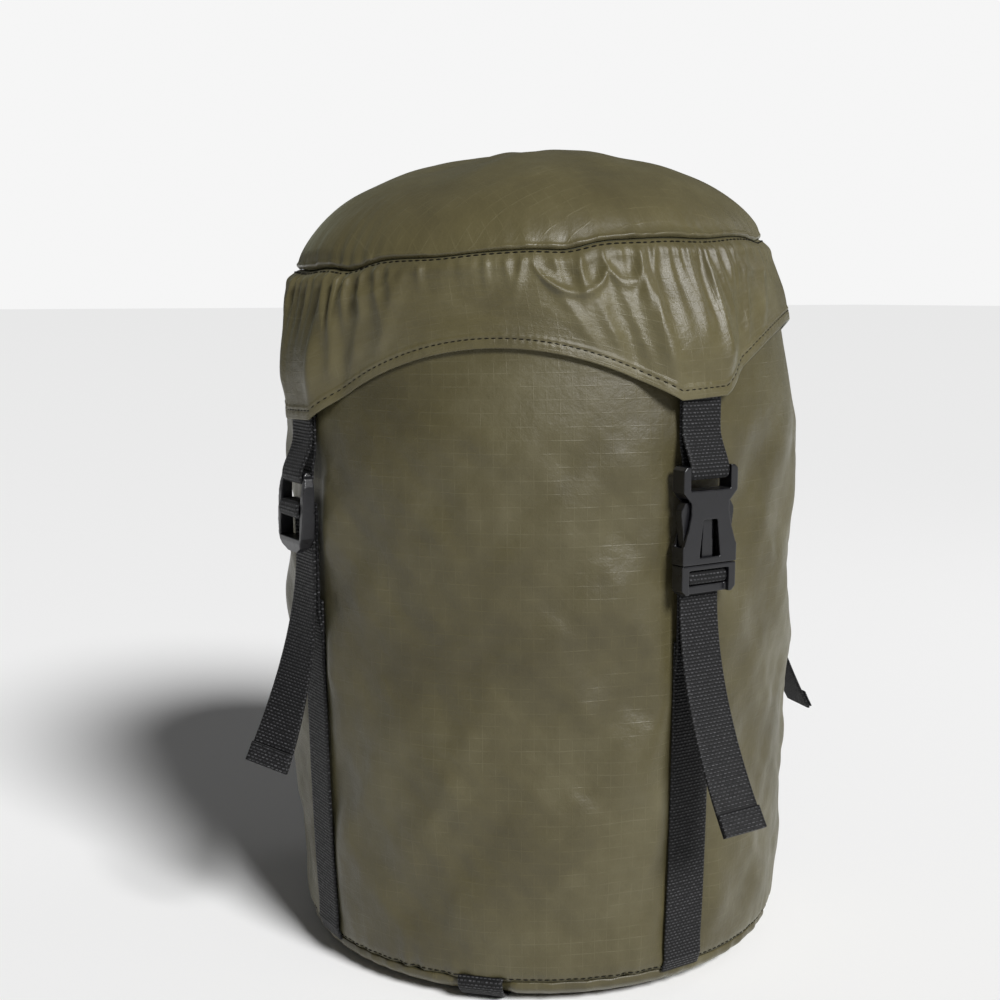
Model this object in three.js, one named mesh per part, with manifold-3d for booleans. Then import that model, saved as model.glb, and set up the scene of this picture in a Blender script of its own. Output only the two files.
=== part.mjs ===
// Compression sack: a round stuff sack with a scalloped cap lid that four webbing straps pull down.
// Millimetres, +Z up. The origin is on the sack's axis, on the surface it stands on.
// The front strap is on -Y.
import * as THREE from "three";
import { mergeVertices } from "three/addons/utils/BufferGeometryUtils.js";
import Module from "manifold-3d";

// Sack body
const WALL_RADIUS = 120;
const BOTTOM_SEAM_RADIUS = 114.5;
const BOTTOM_SEAM_Z = 11.5;
const LID_SEAM_RADIUS = 107;
const LID_SEAM_Z = 322;
const DOME_HEIGHT = 46;
const DOME_FULLNESS = 0.62; // 0.5 is half an ellipse, and more slopes the dome straighter down to its seam
const FABRIC = 1.2; // drawn thickness of every cloth shell
const BOTTOM_PANEL_THICKNESS = 2.8;
const BOTTOM_TURN = 24; // how far in from the seam the bottom panel comes down to the ground
const LOAD_GAP = 0.5; // between the packed load and the cloth round it
const GAP = 0.3; // between neighbouring pieces that touch on the real sack

// Lid
const HEM_POINT_Z = 257.6; // hem height at a strap, before the tilt
const SCALLOP_RISE = 26.5; // hem height between two straps, above the strap points
const LID_TILT = THREE.MathUtils.degToRad(4.1);
const LID_TILT_ANGLE = THREE.MathUtils.degToRad(-122.6); // the side of the sack where the lid sits lowest
const LEAN_START_Z = 248; // the sack stands upright below this height
const LID_CLEARANCE = 2.8; // wall surface to the lid's outer surface, above the hem
const LOAD_HEADROOM = 10; // between the top of the closed sack and the lid's dome

// Gathered mouth under the lid
const NECK_RADIUS = 11;
const MOUTH_RADIUS = 17;
const MOUTH_HOLE_RADIUS = 5;
const MOUTH_HEIGHT = 7;
const MOUTH_HEADROOM = 2; // between the gathered mouth and the lid's dome
const TUNNEL_RADIUS = 2;
const EYELET_BORE_RADIUS = 1.4;
const EYELET_TUBE_RADIUS = 2;
const EYELET_FLANGE_RADIUS = 3;
const EYELET_FLANGE = 0.8;

// Webbing
const WEB_WIDTH = 20;
const WEB = 1.4; // thickness
const WALL_GAP = 0.4; // from the wall cloth to a strap that lies on it
const SEWN_OVERLAP = 14; // length of strap under the lid's hem
const STRAP_EDGE_ROOM = 1.9; // the edges of a flat strap stand further off a round wall than its middle
const TAIL_FOLD = 15; // folded and sewn length at the end of a tail
const HANDLE_ANGLE = THREE.MathUtils.degToRad(-45.6);

// Buckle hardware, measured down from its top edge and outwards from the wall
const HARDWARE_BACK = WEB + WALL_GAP + GAP; // back of the buckles: one strap lies between them and the wall
const BAR_BACK = 2 * WEB + WALL_GAP + 2 * GAP; // back of the bars: two straps lie between them and the wall
const SLOT_SIDE_GAP = 0.4;

const BUCKLE = {
  drop: 27.3, // hem to buckle top
  rail: 3.6,
  thickness: 8,
  loopBar: 4,
  loopSlotEnd: 9.8,
  windowTop: 16,
  windowBottom: 33,
  mouth: 40.5,
  wall: 1.3,
  insert: 12.2, // length of the insert that stays outside the socket
  shoulder: 2,
  middleBar: 2.8,
  barDepth: 3.6,
  barInset: 2.2, // back of the socket to the back of its loop bar
  prongTop: 14.5,
  prongThickness: 4.2,
  guideWidth: 6,
  waist: 4.2, // how far the socket narrows at its side windows
  prongInset: 0.5, // socket wall to a prong, front and back
};

const LADDER = {
  drop: 22.4,
  rail: 3.1,
  length: 35.5,
  topBar: 3.5,
  middleBarTop: 14.2,
  middleBar: 4.3,
  lipTop: 28.8,
  depth: 5.4,
};

// Hardware is as wide as the webbing and a rail on each side of it.
const widthOf = (hardware) => WEB_WIDTH + 2 * (SLOT_SIDE_GAP + hardware.rail);

// The four straps. Each tail hangs in its own curve: how far it falls and how far its end stands out.
const STRAPS = [
  { name: "front", angle: 0, hardware: "buckle", tailDrop: 97, tailReach: 34 },
  { name: "left", angle: -Math.PI / 2, hardware: "ladder", tailDrop: 94, tailReach: 22 },
  { name: "right", angle: Math.PI / 2, hardware: "ladder", tailDrop: 128, tailReach: 56 },
  { name: "back", angle: Math.PI, hardware: "buckle", tailDrop: 97, tailReach: 30 },
];

const ROUND_STEPS = 48;
const SKIRT_STEPS = 72;

const wasm = await Module();
wasm.setup();

// A closed geometry as a solid for cutting and joining.
function toSolid(geometry) {
  const bare = geometry.clone();
  bare.deleteAttribute("normal");
  bare.deleteAttribute("uv");
  const merged = mergeVertices(bare, 1e-4);
  const mesh = new wasm.Mesh({
    numProp: 3,
    vertProperties: new Float32Array(merged.attributes.position.array),
    triVerts: new Uint32Array(merged.index.array),
  });
  return new wasm.Manifold(mesh);
}

function toGeometry(solid) {
  const mesh = solid.getMesh();
  const geometry = new THREE.BufferGeometry();
  geometry.setAttribute("position", new THREE.BufferAttribute(mesh.vertProperties, 3));
  geometry.setIndex(new THREE.BufferAttribute(mesh.triVerts, 1));
  geometry.computeVertexNormals();
  return geometry;
}

function cut(body, ...tools) {
  return toGeometry(tools.reduce((left, tool) => left.subtract(toSolid(tool)), toSolid(body)));
}

const join = (a, b) => toGeometry(toSolid(a).add(toSolid(b)));

const vec = (x, y) => new THREE.Vector2(x, y);

function finish(color, roughness, metalness = 0) {
  return new THREE.MeshStandardMaterial({ color, roughness, metalness, side: THREE.DoubleSide });
}

const materials = {
  ripstop: finish(0x5c5842, 0.55),
  lining: finish(0x4a4637, 0.8),
  load: finish(0x3a3f46, 0.9),
  webbing: finish(0x1b1b1d, 0.85),
  plastic: finish(0x222327, 0.38),
  eyelet: finish(0x2b2b2b, 0.4, 0.8),
};

function piece(name, geometry, material) {
  const mesh = new THREE.Mesh(geometry, material);
  mesh.name = name;
  return mesh;
}

// Flat outlines. A side outline has x outwards from the wall and y up, and is extruded across the strap.
// A front outline has x across the strap and y up, and is extruded outwards from "back".
function extrudeAcross(outline, width, holes = []) {
  const shape = new THREE.Shape(outline);
  shape.holes = holes.map((hole) => new THREE.Path(hole));
  const geometry = new THREE.ExtrudeGeometry(shape, { depth: width, bevelEnabled: false });
  geometry.translate(WALL_RADIUS, 0, -width / 2);
  const axes = new THREE.Matrix4().makeBasis(
    new THREE.Vector3(0, -1, 0),
    new THREE.Vector3(0, 0, 1),
    new THREE.Vector3(-1, 0, 0),
  );
  return geometry.applyMatrix4(axes);
}

function extrudeOut(outline, back, depth) {
  const geometry = new THREE.ExtrudeGeometry(new THREE.Shape(outline), { depth, bevelEnabled: false });
  geometry.translate(0, 0, WALL_RADIUS + back);
  const axes = new THREE.Matrix4().makeBasis(
    new THREE.Vector3(1, 0, 0),
    new THREE.Vector3(0, 0, 1),
    new THREE.Vector3(0, -1, 0),
  );
  return geometry.applyMatrix4(axes);
}

// A block across the strap: half width, from one height to another, from one depth to another.
function block(halfWidth, low, high, back, front) {
  const outline = [vec(-halfWidth, low), vec(halfWidth, low), vec(halfWidth, high), vec(-halfWidth, high)];
  return extrudeOut(outline, back, front - back);
}

// Moves an open path sideways: to its left for a positive distance.
function offsetPath(path, distance) {
  return path.map((point, i) => {
    const before = path[Math.max(i - 1, 0)];
    const after = path[Math.min(i + 1, path.length - 1)];
    const along = after.clone().sub(before).normalize();
    return vec(point.x - along.y * distance, point.y + along.x * distance);
  });
}

// The outline of a strip of even thickness along a path.
function stripOutline(path, thickness) {
  const left = offsetPath(path, thickness / 2);
  const right = offsetPath(path, -thickness / 2);
  return [...right, ...left.reverse()];
}

function lathe(profile, steps = ROUND_STEPS) {
  const geometry = new THREE.LatheGeometry(profile, steps);
  geometry.rotateX(Math.PI / 2);
  return geometry;
}

const lerp = THREE.MathUtils.lerp;
const smooth = THREE.MathUtils.smoothstep;

// The sack's top and the lid lean together towards the low side of the lid.
function lean(geometry) {
  const position = geometry.attributes.position;
  const x = Math.sin(LID_TILT_ANGLE);
  const y = -Math.cos(LID_TILT_ANGLE);
  const slope = Math.tan(LID_TILT);
  for (let i = 0; i < position.count; i += 1) {
    const z = position.getZ(i);
    const share = smooth(z, LEAN_START_Z, LID_SEAM_Z);
    const shift = slope * Math.max(z - LEAN_START_Z, 0) * share;
    const side = position.getX(i) * x + position.getY(i) * y;
    position.setXYZ(i, position.getX(i) + x * shift, position.getY(i) + y * shift, z - slope * side * share);
  }
  geometry.computeVertexNormals();
  return geometry;
}

// Height of the lid's hem at an angle round the sack: low at the straps, arched between them, and tilted.
function hemZ(angle) {
  const quarter = Math.PI / 2;
  const fromStrap = Math.abs(angle - quarter * Math.round(angle / quarter));
  const flat = strapHalfAngle();
  const t = (quarter / 2 - Math.max(fromStrap, flat)) / (quarter / 2 - flat);
  const tilt = -Math.tan(LID_TILT) * WALL_RADIUS * Math.cos(angle - LID_TILT_ANGLE);
  return HEM_POINT_Z + SCALLOP_RISE * (1 - t * t) + tilt;
}

const strapHalfAngle = () => Math.asin((WEB_WIDTH / 2 + 1) / WALL_RADIUS);

// Outer radius of the lid's skirt below its top seam, as shares of the swell from seam to wall.
function skirtRadius(drop) {
  const swell = WALL_RADIUS - LID_SEAM_RADIUS;
  return LID_SEAM_RADIUS + swell * Math.pow(Math.min(drop / (LID_SEAM_Z - HEM_POINT_Z), 1), 0.45);
}

// Height of the lid's crown above the ground at a distance from its middle.
function domeZ(radius) {
  const share = Math.max(1 - (radius / LID_SEAM_RADIUS) ** 2, 0);
  return LID_SEAM_Z + DOME_HEIGHT * Math.pow(share, DOME_FULLNESS);
}

// The closed sack's outer profile from the bottom seam to the neck.
function wallProfile() {
  const fullZ = lerp(BOTTOM_SEAM_Z, HEM_POINT_Z, 0.75);
  const bulge = WALL_RADIUS - BOTTOM_SEAM_RADIUS;
  const side = [0, 0.04, 0.13, 0.3, 0.53, 0.76, 0.97].map((share) => {
    const z = lerp(BOTTOM_SEAM_Z, HEM_POINT_Z, share);
    const t = Math.min((z - BOTTOM_SEAM_Z) / (fullZ - BOTTOM_SEAM_Z), 1);
    return vec(BOTTOM_SEAM_RADIUS + bulge * Math.pow(Math.sin((t * Math.PI) / 2), 0.45), z);
  });
  const shoulder = [0.72, 0.54, 0.38, 0.22, 0.1].map((share) => {
    const drop = share * (LID_SEAM_Z - HEM_POINT_Z);
    return vec(skirtRadius(drop) - LID_CLEARANCE, LID_SEAM_Z - drop);
  });
  const brow = vec(LID_SEAM_RADIUS - FABRIC - LID_CLEARANCE, LID_SEAM_Z - LID_CLEARANCE);
  const top = [0.9, 0.78, 0.6, 0.38, 0.2].map((share) => {
    const radius = share * LID_SEAM_RADIUS;
    return vec(radius, domeZ(radius) - FABRIC - LOAD_HEADROOM);
  });
  return [...side, ...shoulder, brow, ...top, vec(NECK_RADIUS, mouthZ() - GAP)];
}

// The underside of the gathered mouth, which stands on the neck of the side wall.
const mouthZ = () => domeZ(MOUTH_RADIUS) - FABRIC - MOUTH_HEADROOM - MOUTH_HEIGHT;

function wallRadiusAt(z) {
  const profile = wallProfile();
  const i = profile.findIndex((point) => point.y > z);
  const low = profile[i - 1];
  const high = profile[i];
  return lerp(low.x, high.x, (z - low.y) / (high.y - low.y));
}

function sideWall() {
  const outer = wallProfile();
  const inner = offsetPath(outer, FABRIC);
  return lean(lathe([...outer, ...inner.reverse(), outer[0]]));
}

function stuffedContents() {
  const inset = BOTTOM_PANEL_THICKNESS + LOAD_GAP;
  const base = offsetPath(bottomProfile(), -inset).filter((point) => point.y < BOTTOM_SEAM_Z - LOAD_GAP);
  const rim = vec(BOTTOM_SEAM_RADIUS - inset, BOTTOM_SEAM_Z + LOAD_GAP);
  const side = offsetPath(wallProfile(), FABRIC + LOAD_GAP).slice(1);
  const top = side[side.length - 1];
  return lean(lathe([vec(0, inset), ...base.slice(1).reverse(), rim, ...side, vec(0, top.y)]));
}

// The bottom panel's outer profile, from its rim down to the flat that the sack stands on.
function bottomProfile() {
  return [0, 0.2, 0.45, 0.7, 1].map((share) => {
    const a = (share * Math.PI) / 2;
    const radius = BOTTOM_SEAM_RADIUS - BOTTOM_TURN * (1 - Math.cos(a));
    return vec(radius, (BOTTOM_SEAM_Z - GAP) * (1 - Math.sin(a)));
  });
}

// The grab handle's centre line under the bottom, from seam to seam.
function handlePath() {
  const under = offsetPath(bottomProfile(), GAP + WEB / 2);
  const half = under.map((point) => vec(point.x, Math.max(point.y, WEB / 2)));
  const mirrored = half.map((point) => vec(-point.x, point.y)).reverse();
  return [...half, ...mirrored];
}

function handleStrip(thickness, width) {
  const geometry = extrudeAcross(stripOutline(handlePath(), thickness), width);
  geometry.translate(0, WALL_RADIUS, 0);
  return geometry.rotateZ(HANDLE_ANGLE);
}

function bottomPanel() {
  const outer = bottomProfile();
  const top = BOTTOM_SEAM_Z - GAP - 1;
  const inner = offsetPath(outer, -BOTTOM_PANEL_THICKNESS).filter((point) => point.y < top);
  const rim = vec(outer[0].x - BOTTOM_PANEL_THICKNESS, outer[0].y);
  const floor = outer[outer.length - 1];
  const outside = [vec(0, floor.y), floor, ...outer.slice(0, -1).reverse()];
  const profile = [...outside, rim, ...inner, vec(0, BOTTOM_PANEL_THICKNESS)];
  return cut(lathe(profile), handleStrip(WEB + 2 * GAP, WEB_WIDTH + 2 * GAP));
}

// A ring of bunched cloth with an open tunnel in it, which the eyelet leads into.
function mouthChannel() {
  const low = mouthZ();
  const mid = low + MOUTH_HEIGHT / 2;
  const middle = (MOUTH_RADIUS + MOUTH_HOLE_RADIUS) / 2;
  const ring = lathe([
    vec(MOUTH_HOLE_RADIUS + 1, low),
    vec(MOUTH_RADIUS - 1.5, low),
    vec(MOUTH_RADIUS, low + 1),
    vec(MOUTH_RADIUS, low + MOUTH_HEIGHT - 1),
    vec(MOUTH_RADIUS - 1.5, low + MOUTH_HEIGHT),
    vec(MOUTH_HOLE_RADIUS + 1, low + MOUTH_HEIGHT),
    vec(MOUTH_HOLE_RADIUS, mid),
    vec(MOUTH_HOLE_RADIUS + 1, low),
  ], 32);
  const tunnel = new THREE.TorusGeometry(middle, TUNNEL_RADIUS, 8, 32).translate(0, 0, mid);
  const reach = MOUTH_RADIUS - middle + 1;
  const hole = new THREE.CylinderGeometry(EYELET_TUBE_RADIUS + GAP, EYELET_TUBE_RADIUS + GAP, reach, 16);
  hole.translate(0, -middle - reach / 2, mid);
  return lean(cut(ring, tunnel, hole));
}

function mouthEyelet() {
  const mid = mouthZ() + MOUTH_HEIGHT / 2;
  const tube = 3;
  const profile = [
    vec(EYELET_BORE_RADIUS, -tube),
    vec(EYELET_TUBE_RADIUS, -tube),
    vec(EYELET_TUBE_RADIUS, GAP),
    vec(EYELET_FLANGE_RADIUS, GAP),
    vec(EYELET_FLANGE_RADIUS, GAP + EYELET_FLANGE),
    vec(EYELET_BORE_RADIUS, GAP + EYELET_FLANGE),
    vec(EYELET_BORE_RADIUS, -tube),
  ];
  const geometry = lathe(profile, 20).rotateX(Math.PI / 2);
  return lean(geometry.translate(0, -MOUTH_RADIUS, mid));
}

function lidTop() {
  const shares = [0, 0.2, 0.38, 0.56, 0.72, 0.86, 0.95, 1];
  const outer = shares.map((share) => {
    const radius = LID_SEAM_RADIUS * Math.sin((share * Math.PI) / 2);
    return vec(radius, domeZ(radius));
  });
  const inner = outer.map((point) => vec(point.x * (1 - FABRIC / LID_SEAM_RADIUS), 0));
  inner.forEach((point, i) => {
    point.y = LID_SEAM_Z + (outer[i].y - LID_SEAM_Z) * (1 - FABRIC / DOME_HEIGHT);
  });
  return lean(lathe([...inner, ...outer.reverse()]));
}

// The skirt is lofted from the scalloped hem, which clears the straps, up to the ring of the top seam.
function lidSkirt() {
  const slope = Math.tan(LID_TILT);
  const leanX = Math.sin(LID_TILT_ANGLE);
  const leanY = -Math.cos(LID_TILT_ANGLE);
  const seamShift = slope * (LID_SEAM_Z - LEAN_START_Z);
  const points = [];
  for (let i = 0; i < SKIRT_STEPS; i += 1) {
    const angle = (i / SKIRT_STEPS) * 2 * Math.PI;
    const quarter = Math.PI / 2;
    const fromStrap = Math.abs(angle - quarter * Math.round(angle / quarter));
    const pocket = 1 - smooth(fromStrap, strapHalfAngle(), 2.4 * strapHalfAngle());
    const bottom = hemZ(angle);
    const seam = LID_SEAM_Z - GAP - slope * LID_SEAM_RADIUS * Math.cos(angle - LID_TILT_ANGLE);
    const strapTop = (SEWN_OVERLAP + 2) / (seam - bottom);
    const rows = [0, ...[0, 0.3, 0.6, 0.82, 0.95, 1].map((share) => lerp(strapTop, 1, share))];
    const loop = [...rows.map((row) => [row, 0]), ...[...rows].reverse().map((row) => [row, FABRIC])];
    for (const [row, inset] of loop) {
      const z = lerp(bottom, seam, row);
      const swell = skirtRadius((1 - row) * (LID_SEAM_Z - HEM_POINT_Z)) + (FABRIC + GAP) * (1 - row);
      const overStrap = Math.max(swell, WALL_RADIUS + WALL_GAP + 2 * WEB + STRAP_EDGE_ROOM + FABRIC);
      const radius = lerp(swell, overStrap, pocket * (1 - smooth(row, strapTop, strapTop + 0.35))) - inset;
      const shift = seamShift * smooth(row, 0, 1);
      points.push(Math.sin(angle) * radius + leanX * shift, -Math.cos(angle) * radius + leanY * shift, z);
    }
  }
  const across = points.length / 3 / SKIRT_STEPS;
  const faces = [];
  for (let i = 0; i < SKIRT_STEPS; i += 1) {
    for (let j = 0; j < across; j += 1) {
      const here = i * across + j;
      const up = i * across + ((j + 1) % across);
      const next = ((i + 1) % SKIRT_STEPS) * across + j;
      const nextUp = ((i + 1) % SKIRT_STEPS) * across + ((j + 1) % across);
      faces.push(here, next, nextUp, here, nextUp, up);
    }
  }
  const geometry = new THREE.BufferGeometry();
  geometry.setAttribute("position", new THREE.BufferAttribute(new Float32Array(points), 3));
  geometry.setIndex(faces);
  geometry.computeVertexNormals();
  return geometry;
}

// Straps. Heights named "top" are those of the hardware's top edge.
// From the bottom seam up the wall to just behind the hardware's middle bar.
function lowerStrap(high) {
  const low = BOTTOM_SEAM_Z + 1;
  const bends = wallProfile().map((point) => point.y).filter((z) => z > low + 1 && z < high - 1);
  const path = [low, ...bends, high].map((z) => vec(wallRadiusAt(z) - WALL_RADIUS + WALL_GAP + WEB / 2, z));
  return extrudeAcross(stripOutline(path, WEB), WEB_WIDTH);
}

// The sewn double strap under the hem, which divides to pass round the hardware's top bar.
function upperLoop(top, drop, bar, barFront) {
  const back = WALL_GAP;
  const front = barFront + GAP + WEB;
  const sewn = WALL_GAP + 2 * WEB;
  const low = top - bar - GAP - WEB;
  const high = top + drop + SEWN_OVERLAP;
  const split = top + 12;
  const outline = [
    vec(back, high), vec(back, low + 1), vec(back + 1, low), vec(front - 1, low),
    vec(front, low + 1), vec(front, top + 1), vec(sewn, split), vec(sewn, high),
  ];
  const hole = [
    vec(back + WEB, split - 4), vec(barFront + GAP, top + 0.6), vec(barFront + GAP, low + WEB),
    vec(back + WEB, low + WEB),
  ];
  return extrudeAcross(outline, WEB_WIDTH, [hole]);
}


// The strap's turn round a middle bar: up behind it, over its front, and down behind the outer bar.
function strapWrap(barTop, barBottom, barFront, exit) {
  const back = WALL_GAP + WEB + GAP;
  const front = barFront + GAP + WEB;
  const over = barTop + GAP + WEB;
  const under = barBottom - GAP - WEB;
  const outline = [
    vec(back, barTop - 1), vec(back, over - 0.6), vec(back + 0.6, over), vec(front - 1, over),
    vec(front, over - 1), vec(front, under + 1), vec(front - 1, under),
    vec(back + WEB + 0.3, under), vec(back + WEB, under - 0.3), vec(back + WEB, exit), vec(back, exit),
    vec(back, under + WEB), vec(barFront + GAP, under + WEB), vec(barFront + GAP, over - WEB),
    vec(back + WEB, over - WEB), vec(back + WEB, barTop - 1),
  ];
  return extrudeAcross(outline, WEB_WIDTH);
}

// The loose end: it leaves the hardware flat on the strap below and curls outwards, with its end folded over.
function tail(exit, drop, reach) {
  const start = WALL_GAP + 1.5 * WEB + GAP;
  const steps = 14;
  const path = [];
  for (let i = 0; i <= steps; i += 1) {
    const share = i / steps;
    path.push(vec(start + reach * Math.pow(share, 1.9), exit - drop * share));
  }
  const foldStart = Math.round(steps * (1 - TAIL_FOLD / drop));
  const inner = offsetPath(path, -WEB / 2);
  const outer = offsetPath(path, WEB / 2).slice(0, foldStart + 1);
  const folded = offsetPath(path, 1.5 * WEB).slice(foldStart);
  return extrudeAcross([...inner, ...folded.reverse(), ...outer.reverse()], WEB_WIDTH);
}

// Half of a symmetrical front outline, mirrored across the strap's centre line.
function mirrorOutline(half) {
  return [...half, ...half.map((point) => vec(-point.x, point.y)).reverse()];
}

// The female half: a frame for the loop bar, and a hollow body open at its mouth, its sides and its front.
function socket(top) {
  const b = BUCKLE;
  const half = widthOf(b) / 2;
  const at = (down) => top - down;
  const waist = half - b.waist;
  const outline = mirrorOutline([
    vec(half - 1.5, at(0)), vec(half, at(1.5)), vec(half, at(10.5)), vec(waist, at(b.windowTop - 1)),
    vec(waist, at(b.windowTop + 3)), vec(waist + 1.2, at(25)), vec(half - 0.6, at(b.windowBottom - 1)),
    vec(half, at(b.windowBottom)), vec(half, at(b.mouth)),
  ]);
  const back = HARDWARE_BACK;
  const front = back + b.thickness;
  const body = extrudeOut(outline, back, b.thickness);
  const slotHalf = WEB_WIDTH / 2 + SLOT_SIDE_GAP;
  const barBack = back + b.barInset;
  const barFront = barBack + b.barDepth;
  const cavityHalf = half - b.wall;
  const sideWindow = b.wall + b.prongInset;
  return cut(
    body,
    block(slotHalf, at(b.loopSlotEnd), at(b.loopBar), back - 1, front + 1),
    block(slotHalf, at(b.loopBar + 1), at(-1), back - 1, barBack),
    block(slotHalf, at(b.loopBar + 1), at(-1), barFront, front + 1),
    block(cavityHalf, at(b.mouth + 1), at(b.prongTop - 1.5), back + b.wall, front - b.wall),
    ...windowTrapezoid(at, back, front),
    block(half + 1, at(b.windowBottom), at(b.windowTop), back + sideWindow, front - sideWindow),
  );
}

// The tapered window in the socket's face.
function windowTrapezoid(at, back, front) {
  const outline = mirrorOutline([vec(5.4, at(37.6)), vec(3.6, at(22))]);
  return [extrudeOut(outline, back - 1, front - back + 2)];
}

// The male half's fixed part: a ladder of bars outside the socket and a guide inside it.
function insertBase(top) {
  const b = BUCKLE;
  const at = (down) => top - down;
  const start = b.mouth + GAP;
  const end = b.mouth + GAP + b.insert;
  const half = widthOf(b) / 2;
  const outline = mirrorOutline([
    vec(half - 2, at(end)), vec(half, at(end - 2)), vec(half, at(start)),
    vec(b.guideWidth / 2, at(start)), vec(b.guideWidth / 2 - 0.6, at(20)),
  ]);
  const back = HARDWARE_BACK + GAP;
  const front = HARDWARE_BACK + b.thickness - GAP;
  const slotHalf = WEB_WIDTH / 2 + SLOT_SIDE_GAP;
  const bar = insertBars();
  const deep = HARDWARE_BACK + b.wall + b.prongInset;
  return cut(
    extrudeOut(outline, back, front - back),
    block(slotHalf, at(bar.middleTop), at(start + b.shoulder), back - 1, front + 1),
    block(slotHalf, at(bar.outerTop), at(bar.middleBottom), back - 1, front + 1),
    block(slotHalf, at(end + 1), at(bar.middleTop - 1), back - 1, BAR_BACK),
    block(slotHalf, at(end + 1), at(bar.middleTop - 1), BAR_BACK + b.barDepth, front + 1),
    block(slotHalf, at(start + b.shoulder + 1), at(start), back - 1, deep),
    block(half + 1, at(start), at(0), back - 1, deep),
    block(half + 1, at(start), at(0), deep + b.prongThickness, front + 1),
  );
}

// Where the insert's bars lie, measured down from the socket's top edge.
function insertBars() {
  const slot = WEB + 2 * GAP;
  const middleTop = BUCKLE.mouth + GAP + BUCKLE.shoulder + slot;
  const middleBottom = middleTop + BUCKLE.middleBar;
  return { middleTop, middleBottom, outerTop: middleBottom + slot };
}

// One sprung arm. Its outer edge swells into the socket's side window and tapers down to the mouth.
function prong(top, side) {
  const b = BUCKLE;
  const at = (down) => top - down;
  const inside = widthOf(b) / 2 - b.wall - GAP;
  const bulge = inside + 1.3;
  const inner = b.guideWidth / 2 + 4.4;
  const outline = [
    vec(inner, at(b.mouth - GAP)), vec(inside - 0.8, at(b.mouth - GAP)), vec(inside - 0.2, at(b.windowBottom)),
    vec(inside + 0.15, at(27)), vec(inside + 0.75, at(23)), vec(bulge, at(19.5)), vec(bulge - 0.2, at(17.5)),
    vec(inside - 0.8, at(b.prongTop)), vec(inner + 0.6, at(b.prongTop)), vec(inner, at(b.prongTop + 1)),
  ].map((point) => vec(point.x * side, point.y));
  const back = HARDWARE_BACK + b.wall + b.prongInset;
  return extrudeOut(outline, back, b.prongThickness);
}

// A three-bar ladder lock: sewn bar on top, wrapped bar in the middle, and a thumb lip that stands out.
function ladderLock(top) {
  const l = LADDER;
  const half = widthOf(l) / 2;
  const at = (down) => top - down;
  const outline = mirrorOutline([
    vec(half - 9, at(l.length)), vec(half - 3.6, at(l.length - 2.4)), vec(half - 1.2, at(l.length - 7)),
    vec(half, at(l.length - 14)), vec(half, at(6)), vec(half - 1, at(2.5)), vec(half - 4, at(0)),
  ]);
  const back = BAR_BACK;
  const side = [
    vec(back, at(0)), vec(back, at(l.lipTop)), vec(back + 2, at(l.length)), vec(back + 5.4, at(l.length)),
    vec(back + l.depth + 1.2, at(l.lipTop + 2)), vec(back + l.depth + 0.6, at(20)),
    vec(back + l.depth, at(10)), vec(back + 3.6, at(0)),
  ];
  const plate = toSolid(extrudeOut(outline, back - 1, l.depth + 4));
  const solid = plate.intersect(toSolid(extrudeAcross(side, 2 * half + 2)));
  const slotHalf = WEB_WIDTH / 2 + SLOT_SIDE_GAP;
  const front = back + l.depth + 3;
  const frame = cut(
    toGeometry(solid),
    block(slotHalf, at(l.middleBarTop), at(-1), back - 1, front),
    block(slotHalf, at(l.lipTop), at(l.middleBarTop + l.middleBar), back - 1, front),
    block(slotHalf, at(l.middleBarTop + l.middleBar + 1), at(l.middleBarTop - 1), back + l.depth, front),
  );
  const bar = new THREE.CylinderGeometry(l.topBar / 2, l.topBar / 2, 2 * slotHalf + 1, 16).rotateZ(Math.PI / 2);
  return join(frame, bar.translate(0, -(WALL_RADIUS + back + l.topBar / 2), at(l.topBar / 2)));
}

function addBuckle(station, strap, top) {
  const b = BUCKLE;
  const bars = insertBars();
  const middle = top - bars.middleTop;
  const exit = top - b.mouth - GAP - b.insert - 1.5;
  const loop = upperLoop(top, b.drop, b.loopBar, HARDWARE_BACK + b.barInset + b.barDepth);
  const wrap = strapWrap(middle, middle - b.middleBar, BAR_BACK + b.barDepth, exit);
  station.add(
    piece(`${strap.name}_lower_strap`, lowerStrap(middle + 1), materials.webbing),
    piece(`${strap.name}_upper_loop`, loop, materials.webbing),
    piece(`${strap.name}_buckle_socket`, socket(top), materials.plastic),
    piece(`${strap.name}_buckle_insert`, insertBase(top), materials.plastic),
    piece(`${strap.name}_prong_a`, prong(top, 1), materials.plastic),
    piece(`${strap.name}_prong_b`, prong(top, -1), materials.plastic),
    piece(`${strap.name}_strap_wrap`, wrap, materials.webbing),
    piece(`${strap.name}_tail`, tail(exit - GAP, strap.tailDrop, strap.tailReach), materials.webbing),
  );
}

function addLadder(station, strap, top) {
  const l = LADDER;
  const middle = top - l.middleBarTop;
  const exit = top - l.length - 1.5;
  const loop = upperLoop(top, l.drop, l.topBar, BAR_BACK + l.topBar);
  const wrap = strapWrap(middle, middle - l.middleBar, BAR_BACK + l.depth, exit);
  station.add(
    piece(`${strap.name}_lower_strap`, lowerStrap(middle + 1), materials.webbing),
    piece(`${strap.name}_upper_loop`, loop, materials.webbing),
    piece(`${strap.name}_ladder_lock`, ladderLock(top), materials.plastic),
    piece(`${strap.name}_strap_wrap`, wrap, materials.webbing),
    piece(`${strap.name}_tail`, tail(exit - GAP, strap.tailDrop, strap.tailReach), materials.webbing),
  );
}

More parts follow.
